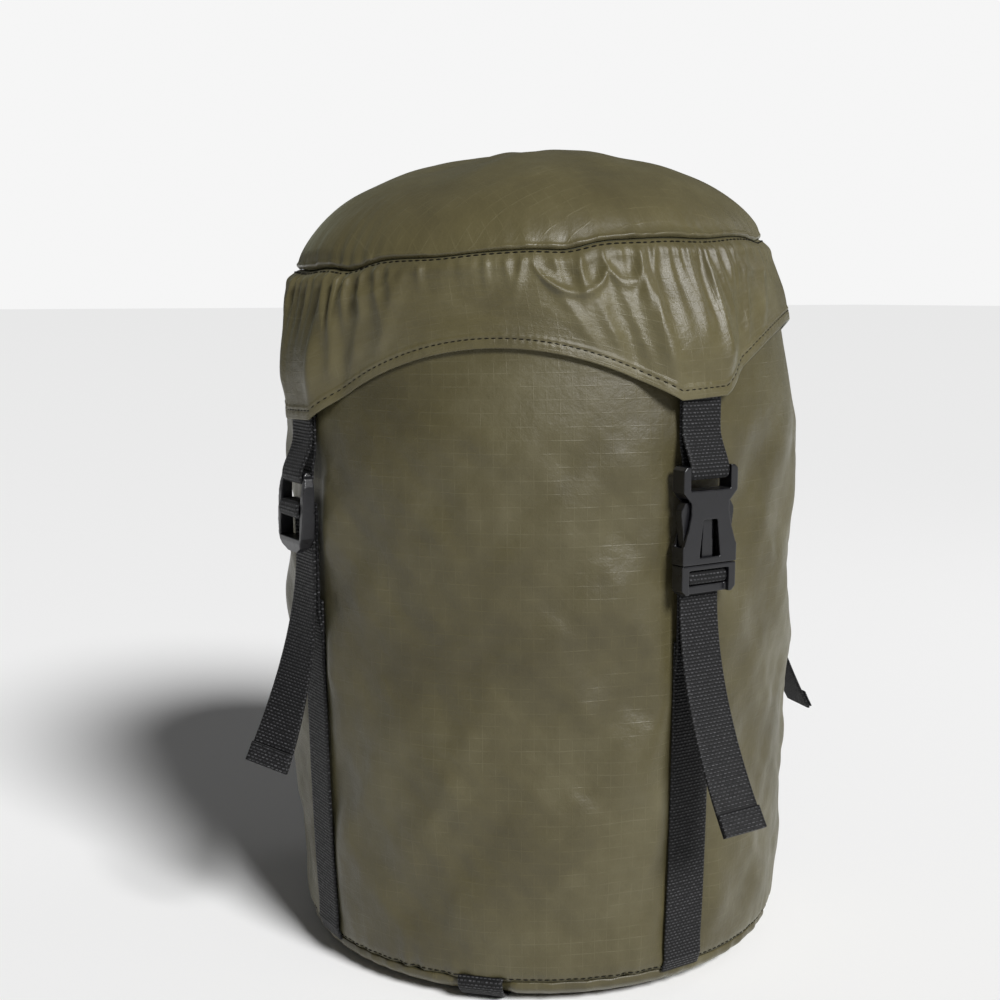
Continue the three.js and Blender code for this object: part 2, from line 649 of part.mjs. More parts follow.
const sack = new THREE.Group();
sack.add(
  piece("stuffed_contents", stuffedContents(), materials.load),
  piece("side_wall", sideWall(), materials.ripstop),
  piece("bottom_panel", bottomPanel(), materials.ripstop),
  piece("bottom_handle", handleStrip(WEB, WEB_WIDTH), materials.webbing),
  piece("mouth_channel", mouthChannel(), materials.lining),
  piece("mouth_eyelet", mouthEyelet(), materials.eyelet),
  piece("lid_top", lidTop(), materials.ripstop),
  piece("lid_skirt", lidSkirt(), materials.ripstop),
);
for (const strap of STRAPS) {
  const station = new THREE.Group();
  station.rotation.z = strap.angle;
  const hem = hemZ(strap.angle);
  if (strap.hardware === "buckle") {
    addBuckle(station, strap, hem - BUCKLE.drop);
  } else {
    addLadder(station, strap, hem - LADDER.drop);
  }
  sack.add(station);
}

export default sack;
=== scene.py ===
# Looks of the compression sack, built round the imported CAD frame. Metres, +Z up, the front strap on -Y.
import math
from collections import namedtuple

import bpy
import numpy as np
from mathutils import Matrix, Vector


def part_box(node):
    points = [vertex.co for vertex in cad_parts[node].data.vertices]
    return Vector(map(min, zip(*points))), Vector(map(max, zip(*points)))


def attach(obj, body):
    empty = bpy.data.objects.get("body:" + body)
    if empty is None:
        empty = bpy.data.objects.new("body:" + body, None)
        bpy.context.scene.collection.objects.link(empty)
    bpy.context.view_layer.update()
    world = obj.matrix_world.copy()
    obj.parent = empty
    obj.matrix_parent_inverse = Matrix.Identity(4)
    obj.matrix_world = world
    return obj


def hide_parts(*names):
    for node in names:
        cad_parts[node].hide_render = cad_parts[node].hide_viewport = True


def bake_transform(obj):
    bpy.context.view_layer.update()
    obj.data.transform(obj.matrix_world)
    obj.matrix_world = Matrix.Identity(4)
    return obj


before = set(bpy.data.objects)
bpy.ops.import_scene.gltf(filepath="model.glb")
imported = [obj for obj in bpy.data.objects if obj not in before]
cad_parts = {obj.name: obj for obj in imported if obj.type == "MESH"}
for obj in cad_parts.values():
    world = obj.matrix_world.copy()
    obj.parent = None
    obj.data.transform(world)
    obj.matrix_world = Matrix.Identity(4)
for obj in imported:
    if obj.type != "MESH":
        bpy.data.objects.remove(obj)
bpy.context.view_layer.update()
MM = 0.001
TAU = 2 * math.pi
QUARTER = math.pi / 2

# Sizes that the frame holds
GAP = 0.3 * MM
WALL_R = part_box("side_wall")[1].x
BASE_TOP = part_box("bottom_panel")[1].z + GAP
BASE_HEIGHT = BASE_TOP - GAP
MOUTH_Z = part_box("mouth_channel")[0].z + 1.1 * MM

# The same driving sizes as the CAD part
BOTTOM_SEAM_R = 114.5 * MM
BASE_TURN = 24 * MM
LID_SEAM_R = 107 * MM
LID_SEAM_Z = 322 * MM
DOME_HEIGHT = 46 * MM
DOME_FULLNESS = 0.62
SIDE_FULLNESS = 0.45
HEM_POINT_Z = 257.6 * MM
SCALLOP_RISE = 26.5 * MM
LID_TILT_ANGLE = math.radians(-122.6)
LID_SLOPE = math.tan(math.radians(4.1))
LOW_SIDE = (math.sin(LID_TILT_ANGLE), -math.cos(LID_TILT_ANGLE))
LEAN_START_Z = 248 * MM
LID_CLEARANCE = 2.8 * MM
LOAD_HEADROOM = 10 * MM
FABRIC = 1.2 * MM
MOUTH_R = 17 * MM
NECK_R = 11 * MM
WEB_WIDTH = 20 * MM
WEB = 1.4 * MM
WALL_GAP = 0.4 * MM
STRAP_EDGE_ROOM = 1.9 * MM
SEWN_OVERLAP = 14 * MM
HANDLE_ANGLE = math.radians(-45.6)
STRAP_HALF_ANGLE = math.asin((WEB_WIDTH / 2 + MM) / WALL_R)

# Sizes that only the looks have
RIB_PITCH = 1.45 * MM
RIB_HEIGHT = 0.2 * MM
TAIL_FOLD = 9 * MM
HEM_WIDTH = 5.2 * MM
HEM_STITCH = 4 * MM
SEAM_STITCH = 1.6 * MM
STITCH_PITCH = 3.1 * MM
STRAP_BITE = 1.9 * MM
LOWER_BITE = 1.35 * MM
WRAP_LENGTH = 34 * MM
WRAP_TAPER = 9 * MM
WRAP_OVERLAP = 14 * MM

# Down from the hem: the hardware's top. Down from that top: its upper bar, its rail and its end. Out from the
# wall: the middle of its upper bar and the front of its rail.
Hardware = namedtuple("Hardware", "below_hem bar_low bar_out bar_half rail_top rail rail_front length")
HARDWARE = {
    "buckle": Hardware(
        below_hem=27.3 * MM, bar_low=4 * MM, bar_out=6.1 * MM, bar_half=1.8 * MM,
        rail_top=44.8 * MM, rail=2.8 * MM, rail_front=7.4 * MM, length=53 * MM,
    ),
    "ladder": Hardware(
        below_hem=22.4 * MM, bar_low=3.5 * MM, bar_out=5.55 * MM, bar_half=1.75 * MM,
        rail_top=14.2 * MM, rail=4.3 * MM, rail_front=9.2 * MM, length=35.5 * MM,
    ),
}

# Each strap's place and hardware, then its loose end: how far it falls and stands out, how late it bends
# outwards, how far it drifts sideways, and its twist
Strap = namedtuple("Strap", "name angle hardware drop reach bend drift twist")
STRAPS = [
    Strap("front", 0.0, "buckle", 94 * MM, 34 * MM, 1.9, -0.8 * MM, math.radians(10)),
    Strap("left", -QUARTER, "ladder", 94 * MM, 22 * MM, 1.9, 1.0 * MM, math.radians(-48)),
    Strap("right", QUARTER, "ladder", 128 * MM, 50 * MM, 1.6, 0.0, math.radians(6)),
    Strap("back", math.pi, "buckle", 97 * MM, 30 * MM, 1.9, -2.0 * MM, math.radians(8)),
]


# ---------------------------------------------------------------- camera and light

def direction(azimuth, elevation):
    """The way from the sack to a camera or light, in degrees round it from the front and above the floor."""
    azimuth, elevation = math.radians(azimuth), math.radians(elevation)
    level = math.cos(elevation)
    return Vector((math.sin(azimuth) * level, -math.cos(azimuth) * level, math.sin(elevation)))


def facing(away):
    return (-away).to_track_quat("-Z", "Y").to_euler()


def add_camera():
    """The photograph's view: from the front left, a little above the middle of the sack."""
    away = direction(-32.6, 10.1)
    distance = 0.709
    middle = Vector((0, 0, 0.1796))
    data = bpy.data.cameras.new("camera")
    data.lens = 52.3
    data.sensor_width = 36
    data.shift_x = -0.040
    data.shift_y = 0.0526
    camera = bpy.data.objects.new("camera", data)
    camera.location = middle + away * distance
    camera.rotation_euler = facing(away)
    bpy.context.scene.collection.objects.link(camera)
    bpy.context.scene.camera = camera


def add_light(name, kind, away, distance, power, **settings):
    """A light that points at the sack. A sun shines evenly from its direction, whatever its distance."""
    data = bpy.data.lights.new(name, kind)
    data.energy = power
    for key, value in settings.items():
        setattr(data, key, value)
    light = bpy.data.objects.new(name, data)
    light.location = Vector((0, 0, 0.2)) + away * distance
    light.rotation_euler = facing(away)
    bpy.context.scene.collection.objects.link(light)


def add_world(seen, lighting):
    """A white room that looks brighter than the light it gives, as a lit backdrop does."""
    world = bpy.data.worlds.new("studio")
    world.use_nodes = True
    tree = world.node_tree
    background = tree.nodes["Background"]
    background.inputs["Color"].default_value = (1, 1, 1, 1)
    strength = tree.nodes.new("ShaderNodeMix")
    strength.inputs[2].default_value = lighting
    strength.inputs[3].default_value = seen
    tree.links.new(tree.nodes.new("ShaderNodeLightPath").outputs["Is Camera Ray"], strength.inputs[0])
    tree.links.new(strength.outputs[0], background.inputs["Strength"])
    bpy.context.scene.world = world


def add_floor():
    half = 30.0
    corners = [(-half, -half, 0), (half, -half, 0), (half, half, 0), (-half, half, 0)]
    mesh = bpy.data.meshes.new("floor")
    mesh.from_pydata(corners, [], [(0, 1, 2, 3)])
    floor = bpy.data.objects.new("floor", mesh)
    bpy.context.scene.collection.objects.link(floor)
    material = bpy.data.materials.new("floor")
    material.use_nodes = True
    shader = material.node_tree.nodes["Principled BSDF"]
    shader.inputs["Base Color"].default_value = (0.93, 0.93, 0.93, 1)
    shader.inputs["Roughness"].default_value = 0.9
    mesh.materials.append(material)


def add_studio():
    add_world(seen=0.92, lighting=0.08)
    bpy.context.scene.view_settings.view_transform = "Standard"
    add_light("key", "SUN", direction(3, 38), 2.0, 4.3, angle=math.radians(18))
    add_light("rim", "AREA", direction(88, 30), 1.3, 0.7, shape="DISK", size=0.45)
    add_floor()


# ---------------------------------------------------------------- materials

class Nodes:
    """Short calls for building one material's node tree."""

    def __init__(self, name):
        self.material = bpy.data.materials.new(name)
        self.material.use_nodes = True
        self.tree = self.material.node_tree
        self.shader = self.tree.nodes["Principled BSDF"]

    def add(self, kind, **settings):
        node = self.tree.nodes.new(kind)
        for key, value in settings.items():
            setattr(node, key, value)
        return node

    def link(self, source, target):
        self.tree.links.new(source, target)

    def feed(self, **sources):
        """Drive the shader's inputs, with each input's spaces written as underscores."""
        for key, source in sources.items():
            self.link(source, self.shader.inputs[key.replace("_", " ")])

    def set(self, **values):
        for key, value in values.items():
            self.shader.inputs[key.replace("_", " ")].default_value = value

    def math(self, operation, a, b=None):
        node = self.add("ShaderNodeMath", operation=operation)
        for socket, value in zip(node.inputs, (a, b)):
            if isinstance(value, (int, float)):
                socket.default_value = value
            elif value is not None:
                self.link(value, socket)
        return node.outputs[0]

    def in_mm(self, vector):
        scale = self.add("ShaderNodeVectorMath", operation="SCALE")
        scale.inputs["Scale"].default_value = 1000
        self.link(vector, scale.inputs[0])
        return scale.outputs[0]

    def uv_mm(self):
        """The piece's own flat coordinates in millimetres: across (or round) and along (or up)."""
        vector = self.in_mm(self.add("ShaderNodeUVMap", uv_map="flat").outputs[0])
        parts = self.add("ShaderNodeSeparateXYZ")
        self.link(vector, parts.inputs[0])
        return vector, parts.outputs[0], parts.outputs[1]

    def object_mm(self):
        return self.in_mm(self.add("ShaderNodeTexCoord").outputs["Object"])

    def noise(self, vector, scale, detail=3, roughness=0.5):
        node = self.add("ShaderNodeTexNoise")
        node.inputs["Scale"].default_value = scale
        node.inputs["Detail"].default_value = detail
        node.inputs["Roughness"].default_value = roughness
        self.link(vector, node.inputs["Vector"])
        return node.outputs[0]

    def ramp(self, factor, *stops):
        node = self.add("ShaderNodeValToRGB")
        ramp = node.color_ramp
        while len(ramp.elements) < len(stops):
            ramp.elements.new(0.5)
        for element, (position, colour) in zip(ramp.elements, stops):
            element.position = position
            element.color = (*colour, 1)
        self.link(factor, node.inputs[0])
        return node.outputs[0]

    def range(self, value, low, high, to_low, to_high):
        node = self.add("ShaderNodeMapRange")
        for socket, number in zip(list(node.inputs)[1:5], (low, high, to_low, to_high)):
            socket.default_value = number
        self.link(value, node.inputs[0])
        return node.outputs[0]

    def bump(self, height, distance, strength):
        node = self.add("ShaderNodeBump")
        node.inputs["Strength"].default_value = strength
        node.inputs["Distance"].default_value = distance
        self.link(height, node.inputs["Height"])
        self.feed(Normal=node.outputs[0])


def shaded(colour, factor):
    return tuple(factor * c for c in colour)


def ripstop(name, dark, mid, light, roughness=0.42):
    """Thin crumpled nylon with a satin sheen: plain weave, with a raised thread every few millimetres."""
    n = Nodes(name)
    vector, u, v = n.uv_mm()
    pitch, yarn = 5.4, 11.0

    def raised_thread(coordinate):
        phase = n.math("SUBTRACT", n.math("FRACT", n.math("DIVIDE", coordinate, pitch)), 0.5)
        return n.range(n.math("ABSOLUTE", phase), 0.0, 0.055, 1.0, 0.0)

    def plain_weave(coordinate):
        return n.math("SINE", n.math("MULTIPLY", coordinate, yarn))

    broken = n.range(n.noise(vector, 0.09, 2), 0.42, 0.62, 0.15, 1.0)
    grid = n.math("MAXIMUM", raised_thread(v), n.math("MULTIPLY", raised_thread(u), 0.7))
    grid = n.math("MULTIPLY", grid, broken)
    weave = n.math("MULTIPLY", plain_weave(u), plain_weave(v))
    crumple = n.noise(vector, 0.11, 5, 0.6)
    blotch = n.noise(vector, 0.017, 3, 0.55)
    # Colour: random blotches, plus painted shade and light that follow the crumple bump (lighter crests,
    # darker hollows), and a painted highlight on the raised grid threads.
    tone_and_painted_relief_light = n.math("ADD", n.math("MULTIPLY", blotch, 0.75), n.math("MULTIPLY", crumple, 0.25))
    tone_and_painted_relief_light = n.math("ADD", tone_and_painted_relief_light, n.math("MULTIPLY", grid, 0.17))
    gloss = n.range(n.noise(vector, 0.05, 3), 0.3, 0.7, roughness - 0.05, roughness + 0.08)
    n.feed(Base_Color=n.ramp(tone_and_painted_relief_light, (0.3, dark), (0.52, mid), (0.95, light)), Roughness=gloss)
    height = n.math("ADD", crumple, n.math("MULTIPLY", grid, 0.11))
    height = n.math("ADD", height, n.math("MULTIPLY", weave, 0.03))
    n.bump(height, 1.0 * MM, 0.6)
    n.set(Sheen_Weight=0.1, Sheen_Roughness=0.4, Sheen_Tint=(0.75, 0.8, 0.6, 1), Specular_IOR_Level=0.42)
    return n.material


def webbing_material():
    """Black webbing: ribs across it, each a row of short weft floats, painted grey on the crests as a painted
    sheen and darker in the gaps as painted shade.
    """
    n = Nodes("webbing")
    vector, u, v = n.uv_mm()
    pitch, float_width = RIB_PITCH / MM, 1.9
    rib = n.math("ABSOLUTE", n.math("SINE", n.math("MULTIPLY", v, math.pi / pitch)))
    row = n.math("FLOOR", n.math("DIVIDE", v, pitch))
    stagger = n.math("MULTIPLY", n.math("MODULO", row, 2.0), math.pi)
    floats = n.math("SINE", n.math("ADD", n.math("MULTIPLY", u, TAU / float_width), stagger))
    floats = n.range(floats, -0.9, -0.1, 0.3, 1.0)
    # Painted sheen on the rib crests and floats, and painted shade in the gaps between them; the same relief
    # feeds the bump.
    rib_relief_painted_sheen = n.math("MULTIPLY", n.math("POWER", rib, 2.5), floats)
    rib_relief_painted_sheen = n.math("MULTIPLY", rib_relief_painted_sheen, n.range(n.noise(vector, 0.7, 3), 0.3, 0.7, 0.55, 1.1))
    # The grey is the painted sheen's colour; the black is the painted shade in the gaps.
    black, dark, sheen_grey = (0.002, 0.002, 0.0022), (0.010, 0.010, 0.011), (0.075, 0.075, 0.079)
    gloss = n.range(n.noise(vector, 0.4, 2), 0.3, 0.7, 0.5, 0.68)
    n.feed(Base_Color=n.ramp(rib_relief_painted_sheen, (0.2, black), (0.6, dark), (1.0, sheen_grey)), Roughness=gloss)
    n.bump(n.math("ADD", rib_relief_painted_sheen, n.math("MULTIPLY", n.noise(vector, 3.0, 2), 0.3)), 0.22 * MM, 0.6)
    n.set(Sheen_Weight=0.06, Sheen_Roughness=0.4, Specular_IOR_Level=0.25)
    return n.material


def plastic_material(name, base, roughness):
    """Moulded acetal: a fine spark-eroded grain, softly glossy, with faint handling marks."""
    n = Nodes(name)
    vector = n.object_mm()
    marks = n.noise(vector, 0.25, 4, 0.6)
    colour = n.ramp(marks, (0.3, shaded(base, 0.8)), (0.55, base), (0.8, shaded(base, 1.35)))
    n.feed(Base_Color=colour, Roughness=n.range(marks, 0.3, 0.7, roughness - 0.05, roughness + 0.07))
    n.bump(n.noise(vector, 4.5, 2), 0.05 * MM, 0.35)
    n.set(Specular_IOR_Level=0.5, Coat_Weight=0.12, Coat_Roughness=0.25)
    return n.material


def thread_material(name, base):
    """Spun polyester thread: dull, with a fine twist."""
    n = Nodes(name)
    twist = n.noise(n.object_mm(), 3.5, 2)
    n.feed(Base_Color=n.ramp(twist, (0.35, shaded(base, 0.6)), (0.65, base)))
    n.bump(twist, 0.1 * MM, 0.5)
    n.set(Roughness=0.85, Specular_IOR_Level=0.2)
    return n.material


def load_material():
    """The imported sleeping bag's shell: smooth dark nylon, seen only if the sack is opened."""
    n = Nodes("load_shell")
    fold_relief_painted_shade = n.noise(n.object_mm(), 0.05, 5, 0.6)
    # The colour follows the fold bump: painted shade darkens the fold hollows and the crests are lighter.
    n.feed(Base_Color=n.ramp(fold_relief_painted_shade, (0.3, (0.02, 0.025, 0.03)), (0.7, (0.06, 0.068, 0.08))))
    n.bump(fold_relief_painted_shade, 2 * MM, 0.6)
    n.set(Roughness=0.55, Sheen_Weight=0.2)
    return n.material


def eyelet_material():
    """Blackened brass, rubbed a little bright on its edge."""
    n = Nodes("eyelet")
    worn = n.noise(n.object_mm(), 1.2, 4)
    n.feed(Base_Color=n.ramp(worn, (0.45, (0.02, 0.02, 0.02)), (0.75, (0.12, 0.09, 0.04))))
    n.bump(worn, 0.05 * MM, 0.4)
    n.set(Metallic=0.9, Roughness=0.4)
    return n.material


# ---------------------------------------------------------------- mesh building

def build(name, points, faces, uvs, material):
    """One smooth mesh from arrays: points (n, 3), quads (m, 4), and uvs for each quad's corners (m, 4, 2)."""
    mesh = bpy.data.meshes.new(name)
    mesh.vertices.add(len(points))
    mesh.vertices.foreach_set("co", np.ascontiguousarray(points, np.float32).ravel())
    mesh.loops.add(faces.size)
    mesh.loops.foreach_set("vertex_index", np.ascontiguousarray(faces, np.int32).ravel())
    mesh.polygons.add(len(faces))
    mesh.polygons.foreach_set("loop_start", np.arange(0, faces.size, 4, dtype=np.int32))
    mesh.polygons.foreach_set("loop_total", np.full(len(faces), 4, np.int32))
    mesh.polygons.foreach_set("use_smooth", np.ones(len(faces), bool))
    layer = mesh.uv_layers.new(name="flat")
    layer.data.foreach_set("uv", np.ascontiguousarray(uvs, np.float32).ravel())
    mesh.update(calc_edges=True)
    mesh.validate()
    mesh.materials.append(material)
    piece = bpy.data.objects.new(name, mesh)
    bpy.context.scene.collection.objects.link(piece)
    return piece


def ring_grid(columns, rows):
    """Quads of a grid that closes on itself, and the column and row of each corner. Column runs slowest."""
    i, j = np.meshgrid(np.arange(columns), np.arange(rows - 1), indexing="ij")
    i, j = i.ravel(), j.ravel()
    corner_i = np.stack([i, i + 1, i + 1, i], 1)
    corner_j = np.stack([j, j, j + 1, j + 1], 1)
    return (corner_i % columns) * rows + corner_j, corner_i, corner_j


def cloth(name, surface, columns, rows, size, material, thickness=0.5 * MM, rising=False):
    """A ring of cloth from surface(angle, share), with its thickness inwards. rising: share runs upwards.

    size is the cloth's flat length round and up. A piece without one is cut as a disc: its uvs are its plan.
    """
    angle = np.arange(columns) / columns * TAU
    share = np.linspace(0, 1, rows)
    points = surface(angle[:, None], share[None, :]).reshape(-1, 3)
    faces, i, j = ring_grid(columns, rows)
    if not rising:
        faces, i, j = faces[:, ::-1], i[:, ::-1], j[:, ::-1]
    if size is None:
        uvs = points[faces][..., :2]
    else:
        uvs = np.stack([i / columns * size[0], j / (rows - 1) * size[1]], -1)
    piece = build(name, points, faces, uvs, material)
    solid = piece.modifiers.new("thickness", "SOLIDIFY")
    solid.thickness = thickness
    solid.offset = -1
    solid.use_even_offset = False
    return piece


def smooth(value, low, high):
    """0 below low and 1 above high, turning smoothly between them."""
    t = np.clip((value - low) / (high - low), 0, 1)
    return t * t * (3 - 2 * t)


def bell(distance, width):
    """1 at no distance, and next to nothing at twice the width."""
    return np.exp(-(distance / width) ** 2)


def mix(a, b, t):
    return a + (b - a) * t


def run_along(path):
    """How far along a path each of its points lies."""
    return np.concatenate([[0], np.cumsum(np.linalg.norm(np.diff(path, axis=0), axis=1))])


def cylinder(radius, angle, z):
    radius, angle, z = np.broadcast_arrays(radius, angle, z)
    return np.stack([np.sin(angle) * radius, -np.cos(angle) * radius, z], -1)


def wrapped(angle):
    return (angle + math.pi) % TAU - math.pi


def from_strap(angle):
    """Signed angle to the nearest strap."""
    return angle - QUARTER * np.round(angle / QUARTER)


def ripples(seed, count, waves, lengths):
    """Smooth random waves round and up the sack: whole waves round it, and wavelengths up it in metres."""
    rng = np.random.default_rng(seed)
    rounds = rng.integers(waves[0], waves[1] + 1, count)
    ups = TAU / rng.uniform(lengths[0], lengths[1], count) * rng.choice([-1, 1], count)
    phases = rng.uniform(0, TAU, count)

    def field(angle, height):
        total = 0
        for r, u, p in zip(rounds, ups, phases):
            total = total + np.cos(r * angle + u * height + p)
        return total / math.sqrt(count)

    return field


def lean(points):
    """The sack's top and the lid lean together towards the low side of the lid, as in the CAD part."""
    z = points[..., 2]
    share = smooth(z, LEAN_START_Z, LID_SEAM_Z)
    shift = LID_SLOPE * np.maximum(z - LEAN_START_Z, 0) * share
    side = points[..., 0] * LOW_SIDE[0] + points[..., 1] * LOW_SIDE[1]
    return points + np.stack([LOW_SIDE[0] * shift, LOW_SIDE[1] * shift, -LID_SLOPE * side * share], -1)


def tilt_drop(angle, radius):
    """How far the lid's tilt lowers a point at an angle and a radius."""
    return LID_SLOPE * radius * np.cos(angle - LID_TILT_ANGLE)


# ---------------------------------------------------------------- cloth shapes

def hem_z(angle):
    away = np.maximum(np.abs(from_strap(angle)), STRAP_HALF_ANGLE)
    t = (QUARTER / 2 - away) / (QUARTER / 2 - STRAP_HALF_ANGLE)
    return HEM_POINT_Z + SCALLOP_RISE * (1 - t * t) - tilt_drop(angle, WALL_R)


def skirt_radius(drop):
    share = np.clip(drop / (LID_SEAM_Z - HEM_POINT_Z), 0, 1)
    return LID_SEAM_R + (WALL_R - LID_SEAM_R) * share ** SIDE_FULLNESS


def dome_z(radius):
    return LID_SEAM_Z + DOME_HEIGHT * np.maximum(1 - (radius / LID_SEAM_R) ** 2, 0) ** DOME_FULLNESS


def wall_line():
    """The sack's outer profile, the same curve as the CAD wall, as closely spaced radii and heights."""
    full = mix(BASE_TOP, HEM_POINT_Z, 0.75)
    side_z = mix(BASE_TOP, HEM_POINT_Z, np.linspace(0, 0.97, 160))
    rise = np.minimum((side_z - BASE_TOP) / (full - BASE_TOP), 1)
    side_r = BOTTOM_SEAM_R + (WALL_R - BOTTOM_SEAM_R) * np.sin(rise * QUARTER) ** SIDE_FULLNESS
    drop = np.linspace(0.72, 0.1, 60) * (LID_SEAM_Z - HEM_POINT_Z)
    top_r = np.linspace(0.9, 0.13, 60) * LID_SEAM_R
    line = np.concatenate([
        np.stack([side_r, side_z], -1),
        np.stack([skirt_radius(drop) - LID_CLEARANCE, LID_SEAM_Z - drop], -1),
        np.stack([top_r, dome_z(top_r) - FABRIC - LOAD_HEADROOM], -1),
    ])
    for _ in range(6):
        line[1:-1] = (line[:-2] + 2 * line[1:-1] + line[2:]) / 4
    return line, run_along(line)


WALL_LINE, WALL_RUN = wall_line()
WALL_BROAD = ripples(3, 14, (2, 9), (0.09, 0.26))
WALL_DENTS = ripples(11, 18, (7, 21), (0.035, 0.09))
WALL_FINE = ripples(29, 24, (18, 60), (0.012, 0.05))


def wall_surface(angle, share):
    """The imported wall: softly lumpy, puckered at the seam, and held in under each strap."""
    run = share * WALL_RUN[-1]
    r = np.interp(run, WALL_RUN, WALL_LINE[:, 0])
    z = np.interp(run, WALL_RUN, WALL_LINE[:, 1])
    above_seam = z - BASE_TOP
    beside = np.abs(from_strap(angle)) * WALL_R
    under_strap = np.exp(-(beside / (13 * MM)) ** 4)
    pillow = bell(beside - 19 * MM, 9 * MM)
    lumps = 1.35 * WALL_BROAD(angle, z) + 0.95 * WALL_DENTS(angle, z) + 0.24 * WALL_FINE(angle, z)
    lumps = lumps + 0.5 * pillow
    free = (1 - 0.9 * smooth(z, 0.232, 0.262)) * smooth(above_seam, 0, 30 * MM)
    free = np.where(z > LID_SEAM_Z, 0.6, free)
    puckers = 0.55 * np.cos(58 * angle + 2.2 * np.sin(5 * angle)) + 0.35 * np.cos(91 * angle)
    puckers = puckers * np.exp(-above_seam / (9 * MM)) * (0.6 + 0.4 * np.cos(7 * angle + 1))
    bite = under_strap * (1 - smooth(z, 0.232, 0.25)) * smooth(above_seam, 0, 12 * MM)
    seam_dip = 1.1 * MM * bell(above_seam, 2.2 * MM)
    out = (lumps * free * (1 - under_strap) + puckers) * MM - STRAP_BITE * bite - seam_dip
    mouth_folds = 2.2 * MM * np.cos(30 * angle + 2.5 * np.sin(3 * angle)) * smooth(-r, -60 * MM, -14 * MM)
    return lean(cylinder(r + out, angle, z + mouth_folds * (r < 70 * MM)))


# A gather below the lid's top seam, with its length as a share of the skirt
Gather = namedtuple("Gather", "angle slant tall half length")
# A long fold that fans out from a strap point up to the seam
Pull = namedtuple("Pull", "at_hem at_seam tall half")
# A fold that sags between two gathers, with its sag as a share of the skirt
Swag = namedtuple("Swag", "angle half_angle sag tall")


def make_gathers():
    """Gathers all round, strongest near the straps."""
    rng = np.random.default_rng(17)
    gathers = []
    angle = 0.0
    while angle < TAU:
        near = math.exp(-(abs(from_strap(angle)) / math.radians(29)) ** 2)
        slant = rng.normal(0, 0.05)
        tall = (0.45 + 1.05 * near) * rng.uniform(0.7, 2.1) * MM
        half = rng.uniform(1.5, 3.0) * MM
        gathers.append(Gather(angle, slant, tall, half, rng.uniform(0.28, 0.5) + 0.3 * near))
        angle += rng.uniform(4.6, 9.0) * MM / LID_SEAM_R * (1.35 - 0.45 * near)
    return gathers


def make_pulls():
    """Four pulls to each side of each strap point."""
    rng = np.random.default_rng(23)
    pulls = []
    for strap in STRAPS:
        for side in (-1, 1):
            for at_hem, at_seam in ((6.2, 8.5), (9.5, 15.5), (14.5, 24.0), (20.5, 32.0)):
                hem_angle = strap.angle + side * math.radians(at_hem + rng.uniform(-0.8, 0.8))
                seam_angle = strap.angle + side * math.radians(at_seam + rng.uniform(-2.0, 2.0))
                tall = rng.uniform(1.3, 2.9) * MM * (1.1 - at_seam / 60)
                pulls.append(Pull(hem_angle, seam_angle, tall, rng.uniform(3.2, 5.2) * MM))
    return pulls


GATHERS = make_gathers()
PULLS = make_pulls()
SWAGS = [
    Swag(math.radians(angle), math.radians(half_angle), sag, tall * MM)
    for angle, half_angle, sag, tall in (
        (-23.7, 8.5, 0.40, 2.4), (-13.0, 4.5, 0.30, 1.8), (26, 9.0, 0.34, 0.8),
        (64, 10.0, 0.36, 0.9), (116, 8.0, 0.32, 0.8), (152, 10.0, 0.38, 0.9),
        (-158, 8.0, 0.30, 0.8), (-122, 10.0, 0.38, 0.9), (-68, 7.0, 0.28, 0.7),
    )
]
SKIRT_BROAD = ripples(41, 12, (4, 14), (0.05, 0.16))


def seam_wave(angle):
    """How far the top seam strays up and down: it dips where the deepest gathers pull on it."""
    wave = 0.8 * np.cos(3 * angle + 0.6) + 0.5 * np.cos(7 * angle + 1.9) + 0.25 * np.cos(17 * angle)
    for centre, deep in ((-23.7, 2.6), (-76, 2.2), (38, 1.8), (112, 2.4), (163, 1.6), (-150, 2.0)):
        wave = wave - deep * bell(wrapped(angle - math.radians(centre)) * LID_SEAM_R, 11 * MM)
    return wave * MM


def skirt_folds(angle, t, down):
    """How far the gathers, pulls and swags stand out, at a share and a distance down from the top seam."""
    out = 0
    for gather in GATHERS:
        beside = np.abs(wrapped(angle - gather.angle - gather.slant * t)) * WALL_R
        width = gather.half * (0.75 + 1.5 * t)
        fade = 1 - smooth(t, 0.35 * gather.length, 1.2 * gather.length)
        rise = smooth(down, 0.2 * MM, 4.5 * MM) * fade
        out = out + gather.tall * rise * np.exp(-(beside / width) ** 1.6)
    for pull in PULLS:
        beside = np.abs(wrapped(angle - mix(pull.at_seam, pull.at_hem, t))) * WALL_R
        rise = smooth(t, 0.02, 0.25) * (1 - 0.75 * smooth(t, 0.72, 0.98))
        out = out + pull.tall * rise * np.exp(-(beside / pull.half) ** 1.7)
    for swag in SWAGS:
        beside = np.abs(wrapped(angle - swag.angle)) / swag.half_angle
        sag = swag.sag * np.sqrt(np.maximum(1 - beside ** 2, 0))
        ridge = bell(t - sag, 0.045) - 0.5 * bell(t - 0.6 * sag, 0.08)
        out = out + 0.7 * swag.tall * ridge * smooth(1 - beside, 0, 0.35)
    return out


def hem_relief(angle, up):
    """The turned-up hem, dented and puckered along its stitches, at a distance up from the hem's edge."""
    fold = 0.4 * MM * (1 - smooth(up, HEM_WIDTH, HEM_WIDTH + 1 * MM))
    dent = -0.3 * MM * bell(up - HEM_STITCH, 0.7 * MM)
    puckers = 0.07 * MM * np.cos(150 * angle + 9 * np.sin(11 * angle)) * bell(up - HEM_STITCH, 3 * MM)
    return fold + dent + puckers


